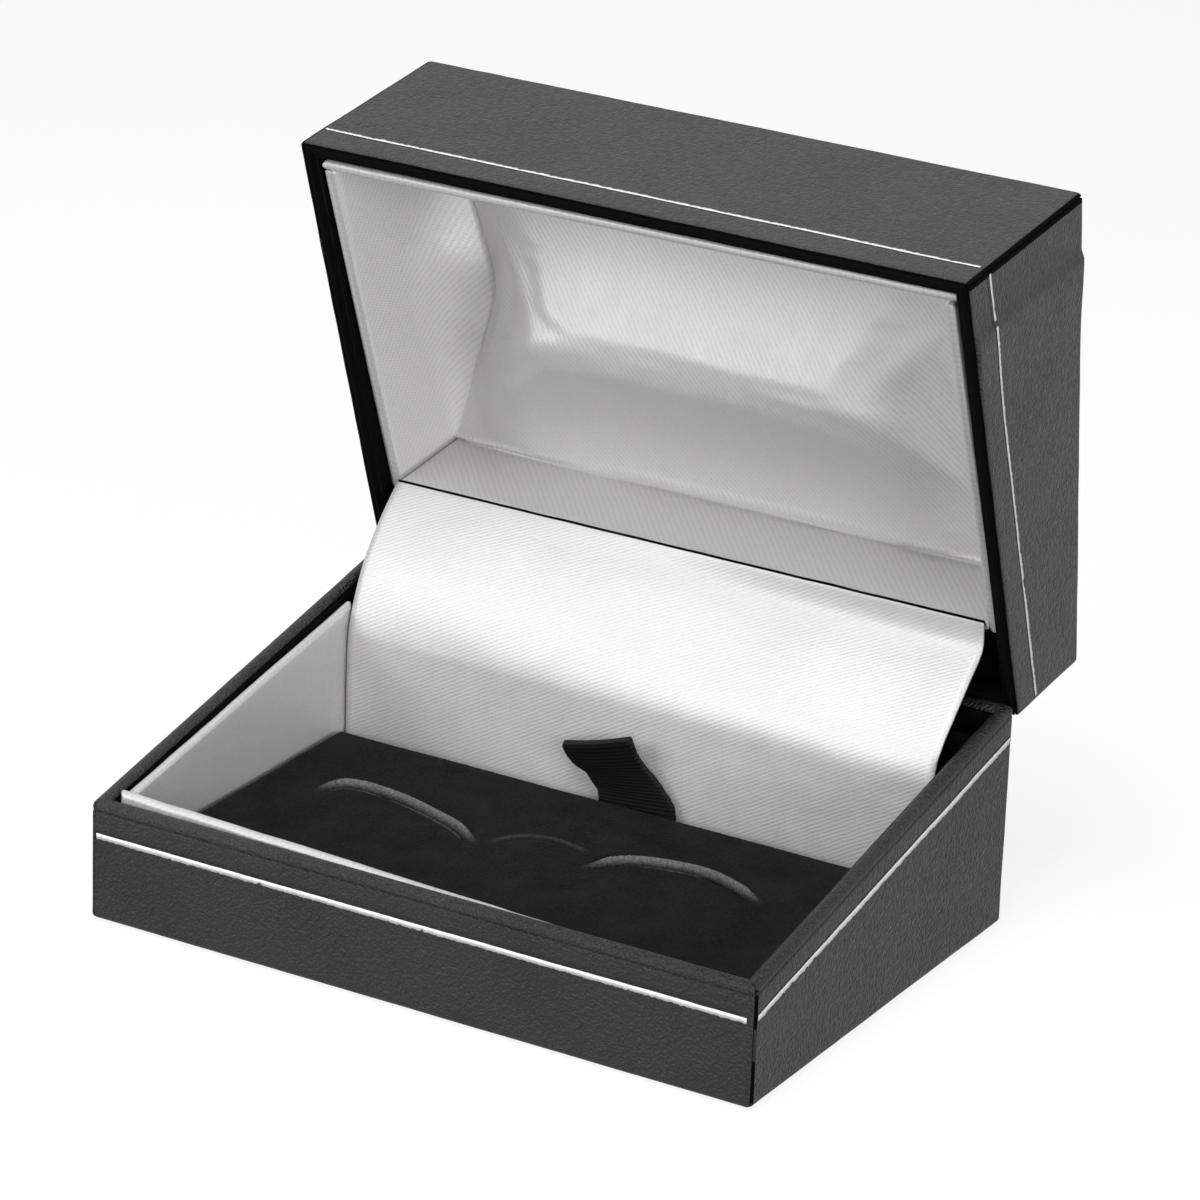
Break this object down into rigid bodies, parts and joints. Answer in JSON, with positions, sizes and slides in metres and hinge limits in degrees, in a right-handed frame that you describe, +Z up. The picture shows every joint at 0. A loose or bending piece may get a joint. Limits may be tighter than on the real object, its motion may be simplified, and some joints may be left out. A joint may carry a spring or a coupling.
{
  "type": "cufflink display box",
  "caption": "Hinged presentation box in dark leatherette with a satin-lined lid and a lift-out velvet pad slit to hold cufflinks.",
  "frame": {"origin": "middle of the underside of the base, on the table", "axes": "+X to the right along the hinge, -Y to the front, +Z up"},
  "size_m": [0.08, 0.0699, 0.0797],
  "materials": {
    "core": "plain moulded, black",
    "leatherette": "fine-grained black leatherette",
    "white_line": "thin white line, slightly ragged",
    "flock": "black flocked sheet",
    "satin": "white satin with a fine diagonal twill",
    "card": "black card",
    "velvet": "short-pile black velvet",
    "foam": "black foam",
    "ribbon": "black ribbon",
    "steel": "plated steel"
  },
  "bodies": {
    "base": {"base_core": "core", "base_wrap": "leatherette", "base_trim_line": "white_line", "base_bottom_sheet": "flock", "base_liner_front": "satin", "base_liner_left": "satin", "base_liner_right": "satin", "base_liner_rear": "card", "satin_hinge_strip": "satin", "pad_rest_frame": "card", "hinge_base_leaf": "steel", "hinge_pin": "steel"},
    "pad": {"pad_velvet": "velvet", "pad_foam": "foam", "pad_board": "card", "pull_tab": "ribbon"},
    "lid": {"lid_core": "core", "lid_wrap": "leatherette", "lid_trim_line": "white_line", "lid_liner_front": "satin", "lid_liner_left": "satin", "lid_liner_right": "satin", "lid_liner_rear": "satin", "lid_top_card": "card", "lid_puff_pad": "satin", "hinge_lid_leaf": "steel"}
  },
  "joints": [
    {"name": "lid_hinge", "type": "hinge", "parent": "base", "child": "lid", "pos_m": [0, 0.0269, 0.02385], "axis": [1, 0, 0], "range_deg": [0, 83], "deforming": ["satin_hinge_strip"]},
    {"name": "pad_lift", "type": "slide", "parent": "base", "child": "pad", "axis": [0, 0, 1], "range_m": [0, 0.015]}
  ]
}
